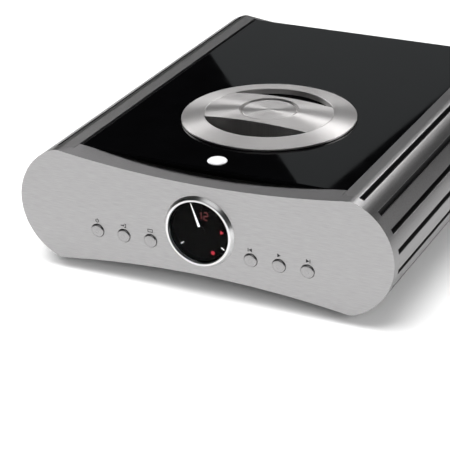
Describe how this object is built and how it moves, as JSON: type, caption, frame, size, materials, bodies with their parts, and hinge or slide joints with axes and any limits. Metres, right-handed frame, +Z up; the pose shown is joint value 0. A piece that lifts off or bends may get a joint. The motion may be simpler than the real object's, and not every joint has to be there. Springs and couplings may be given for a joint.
{
  "type": "disc player",
  "caption": "Top-loading hi-fi disc player with a pill-shaped aluminium front, round dial, push buttons, finned sides and a domed lift-off disc lid.",
  "frame": {"origin": "on the floor plane under the feet, below the middle of the box around the whole player", "axes": "+X to the right seen from the front, +Y from the front plate to the rear panel, +Z up"},
  "size_m": [0.325, 0.374, 0.111],
  "materials": {
    "brushed_aluminium": "fine horizontal brushing",
    "turned_aluminium": "fine turned rings",
    "finned_aluminium": "satin anodised",
    "gloss_black": "mirror gloss",
    "satin_black": "satin",
    "dial_glass": "smoked, polished",
    "needle_white": "matt",
    "badge_silver": "satin",
    "sheet_steel": "fine textured paint",
    "bright_steel": "ground",
    "rubber": "matt",
    "circuit_board": "solder mask",
    "motor_can": "zinc plated",
    "capacitor_sleeve": "shrink sleeve",
    "winding_tape": "wound tape",
    "gold_plate": "gold plated",
    "lens_glass": "coated lens"
  },
  "bodies": {
    "chassis": {"front_plate": "brushed_aluminium", "dial_bezel": "turned_aluminium", "heatsink_left": "finned_aluminium", "heatsink_right": "finned_aluminium", "rear_panel": "finned_aluminium", "top_panel": "gloss_black", "dial_face": "satin_black", "disc_well": "satin_black", "xlr_left": "satin_black", "xlr_right": "satin_black", "optical_in": "satin_black", "mains_inlet": "satin_black", "switch_frame": "satin_black", "dial_window": "dial_glass", "badge": "badge_silver", "bottom_sheet": "sheet_steel", "drive_bridge": "sheet_steel", "guide_rod_front": "bright_steel", "guide_rod_rear": "bright_steel", "transformer_clamp": "bright_steel", "foot_front_left": "rubber", "foot_front_right": "rubber", "foot_rear_left": "rubber", "foot_rear_right": "rubber", "button_board_left": "circuit_board", "button_board_right": "circuit_board", "dial_board": "circuit_board", "servo_board": "circuit_board", "power_board": "circuit_board", "audio_board": "circuit_board", "needle_motor": "motor_can", "spindle_motor": "motor_can", "sled_motor": "motor_can", "capacitor_1": "capacitor_sleeve", "capacitor_2": "capacitor_sleeve", "capacitor_3": "capacitor_sleeve", "capacitor_4": "capacitor_sleeve", "toroid_transformer": "winding_tape", "rca_left": "gold_plate", "rca_right": "gold_plate", "coax_in": "gold_plate", "coax_out": "gold_plate"},
    "button_standby": {"button_standby": "turned_aluminium"},
    "button_input": {"button_input": "turned_aluminium"},
    "button_display": {"button_display": "turned_aluminium"},
    "button_previous": {"button_previous": "turned_aluminium"},
    "button_play": {"button_play": "turned_aluminium"},
    "button_next": {"button_next": "turned_aluminium"},
    "needle": {"needle": "needle_white"},
    "lid": {"lid_ring": "turned_aluminium", "lid_grip": "turned_aluminium", "lid_knob": "turned_aluminium", "lid_liner": "satin_black"},
    "clamp_puck": {"clamp_puck": "satin_black"},
    "spindle_platter": {"spindle_platter": "satin_black"},
    "laser_sled": {"laser_sled": "satin_black", "laser_lens": "lens_glass"},
    "lead_screw": {"lead_screw": "bright_steel"},
    "power_rocker": {"power_rocker": "satin_black"},
    "fuse_drawer": {"fuse_drawer": "satin_black"}
  },
  "joints": [
    {"name": "press_standby", "type": "slide", "parent": "chassis", "child": "button_standby", "axis": [0, 1, 0], "range_m": [0, 0.0012], "stiffness_N_per_m": 800},
    {"name": "press_input", "type": "slide", "parent": "chassis", "child": "button_input", "axis": [0, 1, 0], "range_m": [0, 0.0012], "stiffness_N_per_m": 800},
    {"name": "press_display", "type": "slide", "parent": "chassis", "child": "button_display", "axis": [0, 1, 0], "range_m": [0, 0.0012], "stiffness_N_per_m": 800},
    {"name": "press_previous", "type": "slide", "parent": "chassis", "child": "button_previous", "axis": [0, 1, 0], "range_m": [0, 0.0012], "stiffness_N_per_m": 800},
    {"name": "press_play", "type": "slide", "parent": "chassis", "child": "button_play", "axis": [0, 1, 0], "range_m": [0, 0.0012], "stiffness_N_per_m": 800},
    {"name": "press_next", "type": "slide", "parent": "chassis", "child": "button_next", "axis": [0, 1, 0], "range_m": [0, 0.0012], "stiffness_N_per_m": 800},
    {"name": "needle_turn", "type": "hinge", "parent": "chassis", "child": "needle", "pos_m": [0, -0.1838, 0.0566], "axis": [0, 1, 0], "range_deg": [-104, 144]},
    {"name": "lid_lift", "type": "slide", "parent": "chassis", "child": "lid", "axis": [0, 0, 1], "range_m": [0, 0.08]},
    {"name": "clamp_spin", "type": "hinge", "parent": "lid", "child": "clamp_puck", "pos_m": [0, -0.0506, 0.0919], "axis": [0, 0, 1], "continuous": true},
    {"name": "platter_spin", "type": "hinge", "parent": "chassis", "child": "spindle_platter", "pos_m": [0, -0.0506, 0.0889], "axis": [0, 0, 1], "continuous": true},
    {"name": "sled_slide", "type": "slide", "parent": "chassis", "child": "laser_sled", "axis": [1, 0, 0], "range_m": [0, 0.033]},
    {"name": "lead_screw_turn", "type": "hinge", "parent": "chassis", "child": "lead_screw", "pos_m": [0.0375, -0.0261, 0.0769], "axis": [1, 0, 0], "range_deg": [0, 2400]},
    {"name": "rocker_tilt", "type": "hinge", "parent": "chassis", "child": "power_rocker", "pos_m": [-0.038, 0.1762, 0.0734], "axis": [1, 0, 0], "range_deg": [0, 18]},
    {"name": "fuse_drawer_pull", "type": "slide", "parent": "chassis", "child": "fuse_drawer", "axis": [0, 1, 0], "range_m": [0, 0.018]}
  ],
  "couplings": [
    {"joint": "clamp_spin", "follows": "platter_spin", "ratio": 1},
    {"joint": "lead_screw_turn", "follows": "sled_slide", "rad_per_m": 1256.6}
  ]
}
